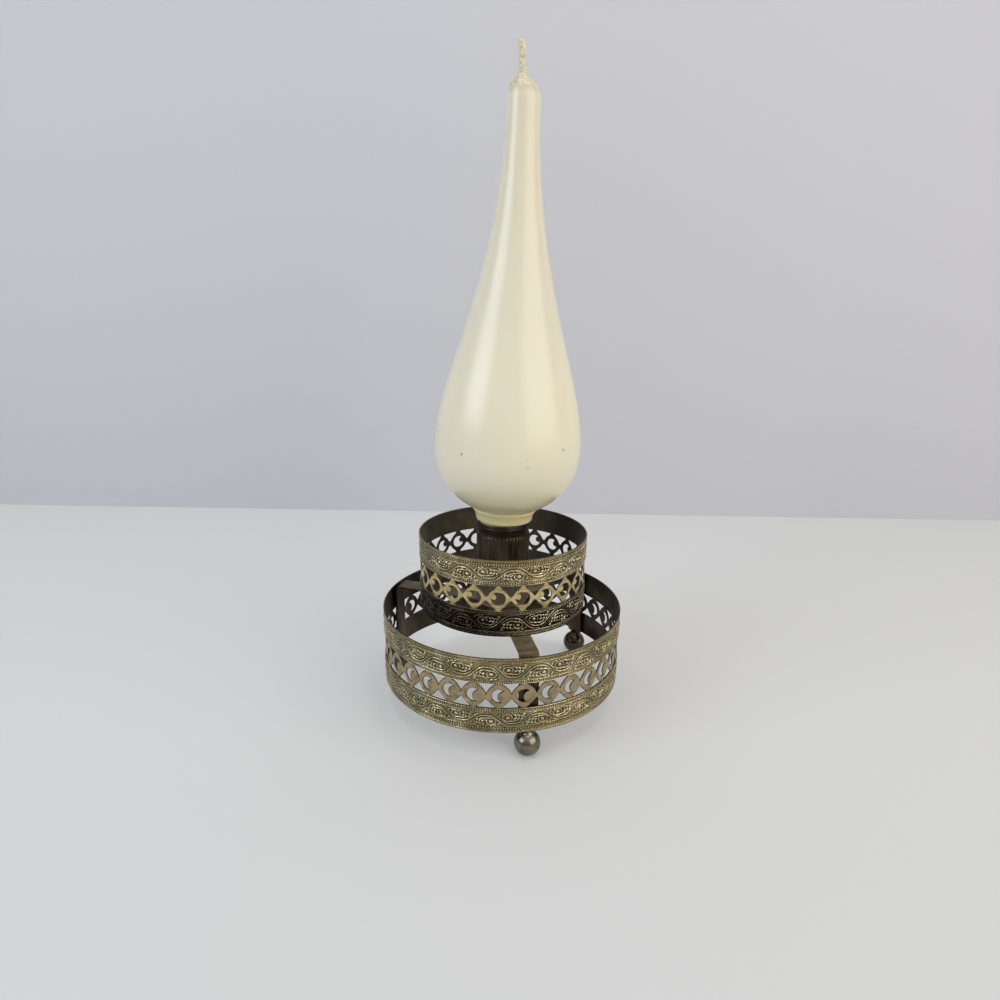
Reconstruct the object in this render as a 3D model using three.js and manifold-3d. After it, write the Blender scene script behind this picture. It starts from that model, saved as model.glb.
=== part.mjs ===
// Taper candle holder: two pierced gallery rings on a three-armed leg frame with ball feet,
// a ribbed socket and a teardrop candle that lifts out.
// Millimetres, +Z up, origin on the floor below the socket's axis.
import * as THREE from 'three';
import { mergeVertices } from 'three/addons/utils/BufferGeometryUtils.js';
import Module from 'manifold-3d';

const wasm = await Module();
wasm.setup();

// Clearances
const solderGap = 0.3; // between pieces that are soldered or riveted together
const plugClearance = 0.35; // round the candle's plug
const ringLift = 0.5; // lower ring's bottom edge above the balls

// Gallery strip, shared by both rings
const stripHeight = 33.2;
const stripWall = 0.6;
const rimHeight = 1.5; // plain raised rim along each edge
const rimOut = 0.3;

// Lattice along the strip's middle, seen from outside: a row of round links with three-cornered windows
const latticeHeight = 11.2;
const linkPitch = 10.2; // asked for, and rounded to whole links on each ring
const eyeRadius = 2.7; // round hole inside each link
const commaRadius = 2.15; // blob that turns the hole into a crescent
const commaSide = 2.45; // from the link's middle to the blob's
const commaDrop = 0.45;
const linkBand = 1.0; // from the hole to the middle of the metal round it
const pillarWidth = 2.5; // between two windows, where a link meets the band
const waistHeight = 1.9; // between two windows' apexes, where two links meet
const waistShift = 0.5; // of the waist from the strip's middle
const windowBulge = 0.45; // of a window's curved sides
const bridge = 0.25; // between a window and the band

// Rings
const lowerRadius = 54.0; // over the rims
const lowerFirstLink = -101.6; // degrees, azimuth of one link
const upperRadius = 37.4;
const upperFirstLink = -123.5;

// Leg frame
const strapWidth = 8.2;
const strapThick = 0.9;
const bendRadius = 3.2; // outside of the bend
const hubInset = 1.75; // of the hub's edge from the socket's
const cornerRadius = 1.4;
const tongueWidth = 2.6; // brazed into the ball
const tongueEnd = 1.6; // above the ball's middle
const legAngles = { front: -77.5, back_right: 42.5, back_left: 162.5 };

// Ball feet
const ballRadius = 5.5;
const ballFlat = 1.3; // radius of the small flat that it stands on

// Socket
const socketRadius = 11.75; // over the ribs
const socketHeight = 38.4;
const socketWall = 0.45;
const socketFloor = 0.8;
const ribCount = 44;
const ribDepth = 0.25;
const collarHeight = 5.0; // plain collar above the ribs
const beadHeight = 2.0; // middle of the collar's bead below the rim
const beadOut = 0.3;

// Rivet that holds the socket to the frame
const rivetShank = 1.7;
const rivetHead = 3.4;
const rivetHeadHeight = 1.2;
const tailTaper = 0.7;

// Candle
const candleLean = 1.9; // degrees towards +X
const plugDepth = 18.0;
const plugChamfer = 1.0;
const footOver = 0.75; // wax foot that sits over the socket's rim, past the socket
const lipOver = 2.35; // thin moulded lip that flares round the foot, past the socket
const lipHeight = 4.6;
const lipThick = 0.4;
const bulgeRadius = 31.4;
const bulgeHeight = 32.0;
const neckRadius = 6.5;
const neckHeight = 165.0;
const tipHeight = 8.6; // round end above the neck

// Wick
const wickRadius = 1.7;
const wickOffset = -1.5;
const wickFree = 11.8;
const wickSunk = 8.0;
const wickBend = 1.1;

// Facets round each turned piece
const socketFacets = 36;
const ballFacets = 18;
const rivetFacets = 16;
const hubFacets = 40;
const waxFacets = 30;

// Worked out from the sizes above
const ballCentreZ = Math.sqrt(ballRadius ** 2 - ballFlat ** 2);
const ballTopZ = ballCentreZ + ballRadius;
const lowerLinks = Math.round((2 * Math.PI * (lowerRadius - rimOut)) / linkPitch);
const upperLinks = Math.round((2 * Math.PI * (upperRadius - rimOut)) / linkPitch);
const lowerBottomZ = ballTopZ + ringLift;
const frameBottomZ = lowerBottomZ + stripHeight;
const frameTopZ = frameBottomZ + strapThick;
const socketRimZ = frameTopZ + socketHeight;
const socketBore = socketRadius - ribDepth - socketWall;
const lean = THREE.MathUtils.degToRad(candleLean);
const plugRoom = socketBore * Math.cos(Math.PI / socketFacets) - plugClearance;
const plugRadius = plugRoom - (plugDepth / 2) * Math.sin(lean);
const lipRadius = socketRadius + lipOver;
const candleHeight = neckHeight + tipHeight; // shoulder to tip
const hubRadius = socketRadius - hubInset;
const lowerInside = (lowerRadius - rimOut - stripWall) * Math.cos(Math.PI / lowerLinks); // at its facets
const strapOutside = Math.sqrt((lowerInside - solderGap) ** 2 - (strapWidth / 2) ** 2);
const strapMiddle = strapOutside - strapThick / 2;
const legEndZ = ballTopZ + solderGap;
const tongueZ = ballCentreZ + tongueEnd;

// Finishes
const finish = {
  brass: new THREE.MeshStandardMaterial({ color: 0x8d8465, roughness: 0.42, metalness: 0.9 }),
  strap: new THREE.MeshStandardMaterial({ color: 0x77705c, roughness: 0.45, metalness: 0.9 }),
  ball: new THREE.MeshStandardMaterial({ color: 0x6a6456, roughness: 0.18, metalness: 1.0 }),
  darkened: new THREE.MeshStandardMaterial({ color: 0x4a4234, roughness: 0.5, metalness: 0.85 }),
  wax: new THREE.MeshStandardMaterial({ color: 0xefe6c6, roughness: 0.3, metalness: 0.0 }),
  wick: new THREE.MeshStandardMaterial({ color: 0xe9dfbf, roughness: 0.7, metalness: 0.0 }),
};

// Closed surface of a geometry, as a solid for cutting and joining
function solid(geometry, matrix) {
  const plain = geometry.clone();
  plain.deleteAttribute('normal');
  plain.deleteAttribute('uv');
  if (matrix) plain.applyMatrix4(matrix);
  const merged = mergeVertices(plain, 1e-4);
  return new wasm.Manifold(new wasm.Mesh({
    numProp: 3,
    vertProperties: merged.attributes.position.array,
    triVerts: new Uint32Array(merged.index.array),
  }));
}

// Geometry of a solid
function geometryOf(made) {
  const mesh = made.getMesh();
  const geometry = new THREE.BufferGeometry();
  geometry.setAttribute('position', new THREE.BufferAttribute(mesh.vertProperties, 3));
  geometry.setIndex(new THREE.BufferAttribute(mesh.triVerts, 1));
  geometry.computeVertexNormals();
  return geometry;
}

function piece(name, geometry, material) {
  const mesh = new THREE.Mesh(geometry, material);
  mesh.name = name;
  return mesh;
}

// Solid of revolution about Z from [radius, height] points
function turned(points, segments) {
  const profile = points.map(([radius, height]) => new THREE.Vector2(radius, height));
  return new THREE.LatheGeometry(profile, segments).rotateX(Math.PI / 2);
}

function turnAbout(angle) {
  return new THREE.Matrix4().makeRotationZ(THREE.MathUtils.degToRad(angle));
}

// Points on a side that bulges from a to b, without its ends
function bulgingSide(a, b, bulge, steps) {
  const middle = a.clone().add(b).multiplyScalar(0.5);
  const across = new THREE.Vector2(b.y - a.y, a.x - b.x).normalize();
  const curve = new THREE.QuadraticBezierCurve(a, middle.addScaledVector(across, 2 * bulge), b);
  return curve.getPoints(steps).slice(1, -1);
}

// Crescent hole of one link, round the link's middle
function crescent() {
  const comma = new THREE.Vector2(commaSide, -commaDrop);
  const reach = comma.length();
  const heading = comma.angle();
  const along = (eyeRadius ** 2 - commaRadius ** 2 + reach ** 2) / (2 * reach);
  const half = Math.acos(along / eyeRadius);
  const inner = Math.atan2(Math.sqrt(eyeRadius ** 2 - along ** 2), along - reach);
  const outerSteps = 6;
  const innerSteps = 3;
  const points = [];
  for (let i = 0; i <= outerSteps; i++) {
    const angle = heading + half + ((2 * Math.PI - 2 * half) * i) / outerSteps;
    points.push(new THREE.Vector2(Math.cos(angle), Math.sin(angle)).multiplyScalar(eyeRadius));
  }
  for (let i = 1; i < innerSteps; i++) {
    const angle = heading - inner + (2 * (inner - Math.PI) * i) / innerSteps;
    const onComma = new THREE.Vector2(Math.cos(angle), Math.sin(angle)).multiplyScalar(commaRadius);
    points.push(onComma.add(comma));
  }
  return points;
}

// Three-cornered window: a straight side on the border and an apex towards the lattice's middle
function cornerWindow(centre, windowWidth, border, depth) {
  const sign = Math.sign(depth);
  const left = new THREE.Vector2(centre - windowWidth / 2, border);
  const right = new THREE.Vector2(centre + windowWidth / 2, border);
  const apex = new THREE.Vector2(centre, border + depth);
  return [
    left,
    ...bulgingSide(left, apex, sign * windowBulge, 2),
    apex,
    ...bulgingSide(apex, right, sign * windowBulge, 2),
    right,
  ];
}

// Pierced strip bent to a ring. A turned strip is the same strip put in upside down.
function galleryRing(radius, links, firstLink, bottomZ, upsideDown) {
  const round = 2 * Math.PI * radius;
  const pitch = round / links;
  const border = stripHeight / 2;
  const steps = 2; // facets of each link along the edges
  const positions = [];
  const at = (u, v, out) => {
    const side = upsideDown ? -u : u;
    const height = upsideDown ? -v : v;
    const angle = THREE.MathUtils.degToRad(firstLink) + (side % round) / radius;
    const reach = radius + out;
    return [reach * Math.cos(angle), reach * Math.sin(angle), bottomZ + border + height];
  };
  const triangle = (a, b, c) => positions.push(...a, ...b, ...c);
  const quad = (a, b, c, d) => {
    triangle(a, b, c);
    triangle(a, c, d);
  };
  // Outline of one cell of the lattice, whose sides pass round the crescent through the link's metal
  const turn = THREE.MathUtils.degToRad(35);
  const sideStep = [Math.PI + turn, Math.PI, Math.PI - turn].map((angle) => {
    const direction = new THREE.Vector2(Math.cos(angle), Math.sin(angle));
    return direction.multiplyScalar(eyeRadius + linkBand);
  });
  const low = -latticeHeight / 2;
  const high = latticeHeight / 2;
  const along = Array.from({ length: steps + 1 }, (_, i) => (pitch * i) / steps);
  const contour = [
    ...along.map((u) => new THREE.Vector2(u, low)),
    ...sideStep.map((p) => new THREE.Vector2(p.x + pitch, p.y)),
    ...along.map((u) => new THREE.Vector2(u, high)).reverse(),
    ...sideStep.slice().reverse(),
  ];
  const windowDepth = (latticeHeight - waistHeight) / 2 - bridge;
  const windowWidth = pitch - pillarWidth;
  const holes = [
    crescent(),
    cornerWindow(pitch / 2, windowWidth, low + bridge, windowDepth - waistShift),
    cornerWindow(pitch / 2, windowWidth, high - bridge, -windowDepth - waistShift),
  ];
  holes.forEach((hole) => {
    if (!THREE.ShapeUtils.isClockWise(hole)) hole.reverse();
  });
  const corners = [...contour, ...holes.flat()];
  // The straight edges are bowed a little for the triangulation, which would drop points in line
  const bowShare = 0.01;
  const bow = (p) => {
    const grow = 1 + bowShare * Math.sin((Math.PI * p.x) / pitch);
    return new THREE.Vector2(p.x, p.y * grow);
  };
  const bowed = contour.map((p) => (Math.abs(p.y) === high ? bow(p) : p));
  const faces = THREE.ShapeUtils.triangulateShape(bowed, holes);
  // Section of the band below the lattice: [height, distance out] of its outside's lines
  const bandLines = [
    [-border, rimOut],
    [-border + rimHeight, rimOut],
    [-border + rimHeight, 0],
    [low, 0],
  ];
  for (let link = 0; link < links; link++) {
    const shift = link * pitch;
    const outer = (p) => at(p.x + shift, p.y, 0);
    const inner = (p) => at(p.x + shift, p.y, -stripWall);
    faces.forEach(([i, j, k]) => {
      const [a, b, c] = [corners[i], corners[j], corners[k]];
      triangle(outer(a), outer(b), outer(c));
      triangle(inner(a), inner(c), inner(b));
    });
    holes.forEach((hole) => {
      hole.forEach((p, i) => {
        const q = hole[(i + 1) % hole.length];
        quad(outer(q), outer(p), inner(p), inner(q));
      });
    });
    for (let step = 0; step < steps; step++) {
      const u0 = shift + along[step];
      const u1 = shift + along[step + 1];
      for (const side of [1, -1]) {
        const face = (a, b, c, d) => (side > 0 ? quad(a, b, c, d) : quad(d, c, b, a));
        const level = (v, out) => [at(u0, side * v, out), at(u1, side * v, out)];
        bandLines.slice(1).forEach(([v, out], i) => {
          const [a, b] = level(...bandLines[i]);
          const [d, c] = level(v, out);
          face(a, b, c, d);
        });
        const [e, f] = level(-border, -stripWall);
        const [g, h] = level(low, -stripWall);
        const [i, j] = level(-border, rimOut);
        face(f, e, g, h);
        face(e, f, j, i);
      }
    }
  }
  const geometry = new THREE.BufferGeometry();
  geometry.setAttribute('position', new THREE.Float32BufferAttribute(positions, 3));
  const merged = mergeVertices(geometry, 1e-3);
  merged.computeVertexNormals();
  return merged;
}

// Side view of one arm, [distance from the axis, height], bent down at its outer end
function armProfile() {
  const shape = new THREE.Shape();
  const bendZ = frameTopZ - bendRadius;
  const bendR = strapOutside - bendRadius;
  shape.moveTo(0, frameBottomZ);
  shape.lineTo(bendR, frameBottomZ);
  shape.absarc(bendR, bendZ, bendRadius - strapThick, Math.PI / 2, 0, true);
  shape.lineTo(strapOutside, bendZ);
  shape.absarc(bendR, bendZ, bendRadius, 0, Math.PI / 2, false);
  shape.lineTo(0, frameTopZ);
  return shape;
}

// Front view of one leg, with rounded lower corners and the tongue that goes into the ball
function legOutline() {
  const half = strapWidth / 2;
  const topZ = frameTopZ - bendRadius;
  const shape = new THREE.Shape();
  shape.moveTo(-half, topZ);
  const cornerX = half - cornerRadius;
  const cornerZ = legEndZ + cornerRadius;
  shape.lineTo(-half, cornerZ);
  shape.absarc(-cornerX, cornerZ, cornerRadius, Math.PI, 1.5 * Math.PI, false);
  shape.lineTo(-tongueWidth / 2, legEndZ);
  shape.lineTo(-tongueWidth / 2, tongueZ);
  shape.lineTo(tongueWidth / 2, tongueZ);
  shape.lineTo(tongueWidth / 2, legEndZ);
  shape.lineTo(cornerX, legEndZ);
  shape.absarc(cornerX, cornerZ, cornerRadius, 1.5 * Math.PI, 2 * Math.PI, false);
  shape.lineTo(half, topZ);
  return shape;
}

function legFrame() {
  const upright = new THREE.Matrix4().makeBasis(
    new THREE.Vector3(1, 0, 0),
    new THREE.Vector3(0, 0, 1),
    new THREE.Vector3(0, -1, 0),
  );
  const arm = new THREE.ExtrudeGeometry(armProfile(), {
    depth: strapWidth,
    bevelEnabled: false,
    curveSegments: 6,
  });
  arm.translate(0, 0, -strapWidth / 2).applyMatrix4(upright);
  const across = new THREE.Matrix4().makeBasis(
    new THREE.Vector3(0, 1, 0),
    new THREE.Vector3(0, 0, 1),
    new THREE.Vector3(1, 0, 0),
  );
  const leg = new THREE.ExtrudeGeometry(legOutline(), {
    depth: strapThick,
    bevelEnabled: false,
    curveSegments: 5,
  });
  leg.translate(0, 0, strapOutside - strapThick).applyMatrix4(across);
  const disc = new THREE.CylinderGeometry(hubRadius, hubRadius, strapThick, hubFacets);
  disc.rotateX(Math.PI / 2).translate(0, 0, frameBottomZ + strapThick / 2);
  let frame = solid(disc);
  for (const angle of Object.values(legAngles)) {
    frame = frame.add(solid(arm, turnAbout(angle))).add(solid(leg, turnAbout(angle)));
  }
  const hole = rivetShank + solderGap;
  const drill = new THREE.CylinderGeometry(hole, hole, 4 * strapThick, rivetFacets);
  drill.rotateX(Math.PI / 2).translate(0, 0, frameBottomZ);
  return geometryOf(frame.subtract(solid(drill)));
}

// Ball with a small flat to stand on and a hole for the leg's tongue
function ballFoot() {
  const hole = Math.hypot(tongueWidth, strapThick) / 2 + solderGap;
  const holeBottom = tongueZ - solderGap;
  const start = Math.asin(ballFlat / ballRadius);
  const end = Math.PI - Math.asin(hole / ballRadius);
  const steps = 10;
  const points = [[0, 0]];
  for (let i = 0; i <= steps; i++) {
    const angle = start + ((end - start) * i) / steps;
    points.push([ballRadius * Math.sin(angle), ballCentreZ - ballRadius * Math.cos(angle)]);
  }
  points.push([hole, holeBottom], [0, holeBottom]);
  points[1][1] = 0; // without a rounding error, so that the flat is flat
  return turned(points, ballFacets);
}

function socket() {
  const body = socketRadius - ribDepth;
  const hole = rivetShank + solderGap;
  const floorZ = frameTopZ + socketFloor;
  const beadZ = socketRimZ - beadHeight;
  const cup = turned([
    [hole, frameTopZ],
    [body, frameTopZ],
    [body, beadZ - beadOut],
    [body + beadOut, beadZ],
    [body, beadZ + beadOut],
    [body, socketRimZ],
    [socketBore, socketRimZ],
    [socketBore, floorZ],
    [hole, floorZ],
    [hole, frameTopZ],
  ], socketFacets);
  const ribs = new THREE.Shape();
  for (let i = 0; i <= 2 * ribCount; i++) {
    const radius = i % 2 ? body - socketWall / 4 : socketRadius;
    const angle = (Math.PI * i) / ribCount;
    if (i) ribs.lineTo(radius * Math.cos(angle), radius * Math.sin(angle));
    else ribs.moveTo(radius * Math.cos(angle), radius * Math.sin(angle));
  }
  const hollow = new THREE.Path().absarc(0, 0, body - socketWall / 2, 0, 2 * Math.PI, true);
  ribs.holes.push(hollow);
  const sleeve = new THREE.ExtrudeGeometry(ribs, {
    depth: socketHeight - collarHeight,
    bevelEnabled: false,
    curveSegments: socketFacets / 3,
  });
  sleeve.translate(0, 0, frameTopZ);
  return geometryOf(solid(cup).add(solid(sleeve)));
}

// Rivet with a domed head inside the socket and a flattened tail below the frame
function rivet() {
  const headZ = frameTopZ + socketFloor;
  const tailZ = frameBottomZ - rivetHeadHeight;
  const points = [
    [0, tailZ],
    [rivetHead - tailTaper, tailZ],
    [rivetHead, frameBottomZ],
    [rivetShank, frameBottomZ],
    [rivetShank, headZ],
    [rivetHead, headZ],
  ];
  const dome = 4;
  for (let i = 1; i <= dome; i++) {
    const angle = (Math.PI * i) / (2 * dome);
    points.push([rivetHead * Math.cos(angle), headZ + rivetHeadHeight * Math.sin(angle)]);
  }
  points[points.length - 1][0] = 0;
  return turned(points, rivetFacets);
}

// Outline of the wax above its shoulder: bowl, long neck and round tip
function waxOutline() {
  const bowl = bulgeHeight - lipHeight;
  const rise = neckHeight - bulgeHeight;
  const start = lipRadius - lipThick;
  // Handles of the three curves, as shares of the distance that each curve covers
  const footOut = 0.34;
  const footUp = 0.03;
  const bellyUp = 0.34;
  const bowlUp = 0.22;
  const neckUp = 0.52;
  const tipUp = 0.65;
  const tipOut = 0.7;
  const path = new THREE.Path();
  path.moveTo(start, lipHeight);
  path.bezierCurveTo(
    start + footOut * (bulgeRadius - start), lipHeight + footUp * bowl,
    bulgeRadius, lipHeight + bellyUp * bowl,
    bulgeRadius, bulgeHeight,
  );
  path.bezierCurveTo(
    bulgeRadius, bulgeHeight + bowlUp * rise,
    neckRadius, bulgeHeight + neckUp * rise,
    neckRadius, neckHeight,
  );
  path.bezierCurveTo(
    neckRadius, neckHeight + tipUp * tipHeight,
    tipOut * neckRadius, candleHeight,
    0, candleHeight,
  );
  const steps = [6, 9, 4];
  return path.curves.flatMap((curve, i) => curve.getPoints(steps[i]).slice(i ? 1 : 0));
}

// Middle line of the wick: straight in the wax, and bent more and more above it
function wickLine() {
  const points = [new THREE.Vector3(wickOffset, 0, candleHeight - wickSunk)];
  const steps = 3;
  for (let i = 0; i <= steps; i++) {
    const share = i / steps;
    points.push(new THREE.Vector3(wickOffset - wickBend * share ** 2, 0, candleHeight + wickFree * share));
  }
  return new THREE.CatmullRomCurve3(points);
}

function wax() {
  const outline = waxOutline().map((p) => [p.x, p.y]);
  outline[outline.length - 1][0] = 0;
  const body = turned([
    [0, -plugDepth],
    [plugRadius - plugChamfer, -plugDepth],
    [plugRadius, -plugDepth + plugChamfer],
    [plugRadius, 0],
    [socketRadius + footOver - lipThick, 0],
    [socketRadius + footOver, lipThick],
    [lipRadius, lipHeight - lipThick],
    ...outline,
  ], waxFacets);
  const hole = wickRadius + solderGap;
  const drill = new THREE.CylinderGeometry(hole, hole, 2 * wickSunk, rivetFacets);
  drill.rotateX(Math.PI / 2).translate(wickOffset, 0, candleHeight);
  return geometryOf(solid(body).subtract(solid(drill)));
}

function wick() {
  const section = new THREE.Shape().absarc(0, 0, wickRadius, 0, 2 * Math.PI, false);
  return new THREE.ExtrudeGeometry(section, {
    extrudePath: wickLine(),
    steps: 8,
    curveSegments: 4,
    bevelEnabled: false,
  });
}

const lowerRing = galleryRing(lowerRadius - rimOut, lowerLinks, lowerFirstLink, lowerBottomZ, false);
const upperRing = galleryRing(upperRadius - rimOut, upperLinks, upperFirstLink, frameTopZ, true);

const holder = new THREE.Group();
holder.add(
  piece('lower_gallery_ring', lowerRing, finish.brass),
  piece('upper_gallery_ring', upperRing, finish.brass),
  piece('leg_frame', legFrame(), finish.strap),
  piece('candle_socket', socket(), finish.darkened),
  piece('socket_rivet', rivet(), finish.strap),
);
for (const [place, angle] of Object.entries(legAngles)) {
  const foot = piece(`ball_foot_${place}`, ballFoot(), finish.ball);
  const turn = THREE.MathUtils.degToRad(angle);
  foot.position.set(strapMiddle * Math.cos(turn), strapMiddle * Math.sin(turn), 0);
  holder.add(foot);
}

// The candle leans about the middle of its plug, and its shoulder stays clear of the socket's rim
const candle = new THREE.Group();
const leaning = new THREE.Group();
const shoulderZ = socketRimZ + socketRadius * Math.sin(lean) + solderGap;
candle.position.z = shoulderZ - plugDepth / 2;
candle.rotation.y = lean;
leaning.position.z = plugDepth / 2;
leaning.add(piece('candle_wax', wax(), finish.wax), piece('candle_wick', wick(), finish.wick));
candle.add(leaning);
holder.add(candle);

export default holder;
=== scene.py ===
import math

import bmesh
import bpy
from mathutils import Matrix, Vector, noise


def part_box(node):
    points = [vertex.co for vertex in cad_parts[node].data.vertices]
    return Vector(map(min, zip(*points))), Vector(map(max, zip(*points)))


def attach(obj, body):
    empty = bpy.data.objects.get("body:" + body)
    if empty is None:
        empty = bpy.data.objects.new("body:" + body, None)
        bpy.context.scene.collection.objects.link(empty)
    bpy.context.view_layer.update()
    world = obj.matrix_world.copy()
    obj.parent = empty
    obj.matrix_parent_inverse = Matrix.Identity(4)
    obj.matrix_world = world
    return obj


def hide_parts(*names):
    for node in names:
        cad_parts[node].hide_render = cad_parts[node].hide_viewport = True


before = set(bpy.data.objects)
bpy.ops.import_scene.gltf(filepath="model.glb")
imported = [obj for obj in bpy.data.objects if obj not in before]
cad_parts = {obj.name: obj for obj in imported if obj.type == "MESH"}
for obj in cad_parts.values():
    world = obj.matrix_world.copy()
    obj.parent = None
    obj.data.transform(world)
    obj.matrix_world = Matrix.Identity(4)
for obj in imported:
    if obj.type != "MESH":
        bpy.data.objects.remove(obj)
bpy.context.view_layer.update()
mm = 0.001
print("frame loaded:", len(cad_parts), "nodes")


# Small helpers, used by every piece

def lowAndHigh(nodeName):
    # a CAD node's lowest and highest point, in mm
    low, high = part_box(nodeName)
    return low.z / mm, high.z / mm


def radiusOf(nodeName):
    low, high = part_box(nodeName)
    return (high.x - low.x) / 2 / mm


def deselectAll():
    bpy.ops.object.select_all(action="DESELECT")


def only(piece):
    deselectAll()
    piece.select_set(True)
    bpy.context.view_layer.objects.active = piece


def added(name):
    # the primitive that was just added, under its own name
    piece = bpy.context.object
    piece.name = name
    piece.data.name = name
    return piece


def settle(piece):
    # moves the object's place into its mesh
    only(piece)
    bpy.ops.object.transform_apply(location=True, rotation=True, scale=True)
    return piece


def applyModifier(piece, kind, **settings):
    only(piece)
    modifier = piece.modifiers.new(kind.title(), kind)
    for key, value in settings.items():
        setattr(modifier, key, value)
    bpy.ops.object.modifier_apply(modifier=modifier.name)


def copyOf(piece):
    twin = piece.copy()
    twin.data = piece.data.copy()
    bpy.context.collection.objects.link(twin)
    return twin


def joined(pieces, name):
    only(pieces[0])
    for piece in pieces:
        piece.select_set(True)
    bpy.ops.object.join()
    return added(name)


def remove(piece):
    bpy.data.objects.remove(piece, do_unlink=True)


def welded(piece, other):
    applyModifier(piece, "BOOLEAN", object=other, operation="UNION", solver="EXACT")
    remove(other)


def repeatAlong(piece, count, pitch, merge=0):
    # copies side by side along X; pitch and merge in mm
    applyModifier(
        piece, "ARRAY", count=count, use_relative_offset=False, use_constant_offset=True,
        constant_offset_displace=(pitch * mm, 0, 0),
        use_merge_vertices=merge > 0, merge_threshold=merge * mm,
    )


def roundEdges(piece, width, angle, clamp=True):
    applyModifier(
        piece, "BEVEL", width=width * mm, segments=2, limit_method="ANGLE",
        angle_limit=math.radians(angle), use_clamp_overlap=clamp,
    )


def smooth(piece, angle=35):
    only(piece)
    bpy.ops.object.shade_smooth_by_angle(angle=math.radians(angle))


def block(name, place, size):
    # a box, by its middle and its size in mm
    deselectAll()
    bpy.ops.mesh.primitive_cube_add(size=1, location=[value * mm for value in place])
    piece = added(name)
    piece.scale = [value * mm for value in size]
    return settle(piece)


# Edit mode

def editing(piece):
    # edit mode, with everything selected
    only(piece)
    bpy.ops.object.mode_set(mode="EDIT")
    bpy.ops.mesh.select_all(action="SELECT")


def done():
    bpy.ops.object.mode_set(mode="OBJECT")


def doneFacingOut():
    bpy.ops.mesh.select_all(action="SELECT")
    bpy.ops.mesh.normals_make_consistent(inside=False)
    done()


def chooseOpenEdges():
    bpy.ops.mesh.select_all(action="DESELECT")
    bpy.ops.mesh.select_mode(type="EDGE")
    bpy.ops.mesh.select_non_manifold()


def chooseEdges(piece, test):
    bpy.ops.mesh.select_all(action="DESELECT")
    bpy.ops.mesh.select_mode(type="EDGE")
    mesh = bmesh.from_edit_mesh(piece.data)
    for line in mesh.edges:
        line.select_set(test(*line.verts))
    mesh.select_flush_mode()
    bmesh.update_edit_mesh(piece.data)


def extrude(x, z):
    # pulls out what is selected, in mm
    bpy.ops.mesh.extrude_region_move(TRANSFORM_OT_translate={"value": (x * mm, 0, z * mm)})


def slicesAcross(width):
    # cuts across X, so that the piece can be bent round
    slices = 6
    for step in range(1, slices):
        bpy.ops.mesh.select_all(action="SELECT")
        bpy.ops.mesh.bisect(plane_co=((step / slices - 0.5) * width * mm, 0, 0), plane_no=(1, 0, 0))


def turnedBody(name, profile, segments, ends="caps"):
    # a circle that is extruded from ring to ring, [radius, height] in mm
    radius, height = profile[0]
    deselectAll()
    bpy.ops.mesh.primitive_circle_add(
        vertices=segments, radius=radius * mm, location=(0, 0, height * mm), fill_type="NOTHING"
    )
    piece = added(name)
    editing(piece)
    for last, here in zip(profile, profile[1:]):
        grow = here[0] / last[0]
        extrude(0, here[1] - last[1])
        bpy.ops.transform.resize(value=(grow, grow, 1), center_override=(0, 0, here[1] * mm))
    chooseOpenEdges()
    if ends == "bridge":
        bpy.ops.mesh.bridge_edge_loops()
    else:
        bpy.ops.mesh.fill_holes(sides=0)
    doneFacingOut()
    return settle(piece)


# Outlines, in mm

def bezierPoints(corners, steps):
    # points on one cubic curve, without its first point
    a, b, c, d = [Vector(corner) for corner in corners]
    points = []
    for step in range(1, steps + 1):
        t = step / steps
        s = 1 - t
        points.append(a * s**3 + b * (3 * s * s * t) + c * (3 * s * t * t) + d * t**3)
    return [tuple(point) for point in points]


def onOval(middle, wide, high, turns):
    # points round an oval, at angles in degrees
    angles = [math.radians(turn) for turn in turns]
    return [(middle[0] + wide * math.cos(angle), middle[1] + high * math.sin(angle)) for angle in angles]


def curveMesh(name, lines, **settings):
    # lines of points with a width each, as one curve that is turned to a mesh
    curve = bpy.data.curves.new(name, "CURVE")
    for key, value in settings.items():
        setattr(curve, key, value)
    for line in lines:
        spline = curve.splines.new("POLY")
        spline.points.add(len(line) - 1)
        for point, (x, y, z, width) in zip(spline.points, line):
            point.co = (x * mm, y * mm, z * mm, 1)
            point.radius = width
        spline.use_cyclic_u = curve.dimensions == "2D"
    piece = bpy.data.objects.new(name, curve)
    bpy.context.collection.objects.link(piece)
    only(piece)
    bpy.ops.object.convert(target="MESH")
    return added(name)


# Materials

def newMaterial(name, **settings):
    material = bpy.data.materials.new(name)
    material.use_nodes = True
    for socket, value in settings.items():
        shaderOf(material).inputs[socket.replace("_", " ")].default_value = value
    return material


def shaderOf(material):
    return material.node_tree.nodes["Principled BSDF"]


def node(material, kind, **settings):
    made = material.node_tree.nodes.new("ShaderNode" + kind)
    for key, value in settings.items():
        if key in made.inputs:
            made.inputs[key].default_value = value
        else:
            setattr(made, key, value)
    return made


def wire(material, fromSocket, toSocket):
    material.node_tree.links.new(fromSocket, toSocket)


def objectPlace(material):
    return node(material, "TexCoord").outputs["Object"]


def ramp(material, source, stops):
    made = node(material, "ValToRGB")
    points = made.color_ramp.elements
    while len(points) < len(stops):
        points.new(0.5)
    for point, (place, colour) in zip(points, stops):
        point.position = place
        point.color = (*colour, 1.0)
    wire(material, source, made.inputs["Fac"])
    return made.outputs["Color"]


def scaledPlace(material, scale, shift=(0, 0, 0)):
    mapping = node(material, "Mapping", Location=shift, Scale=scale)
    wire(material, objectPlace(material), mapping.inputs["Vector"])
    return mapping.outputs["Vector"]


def cloud(material, scale, detail=4.0, roughness=0.55, stretch=None):
    made = node(material, "TexNoise", Scale=scale, Detail=detail, Roughness=roughness)
    place = scaledPlace(material, stretch) if stretch else objectPlace(material)
    wire(material, place, made.inputs["Vector"])
    return made.outputs["Fac"]


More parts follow.
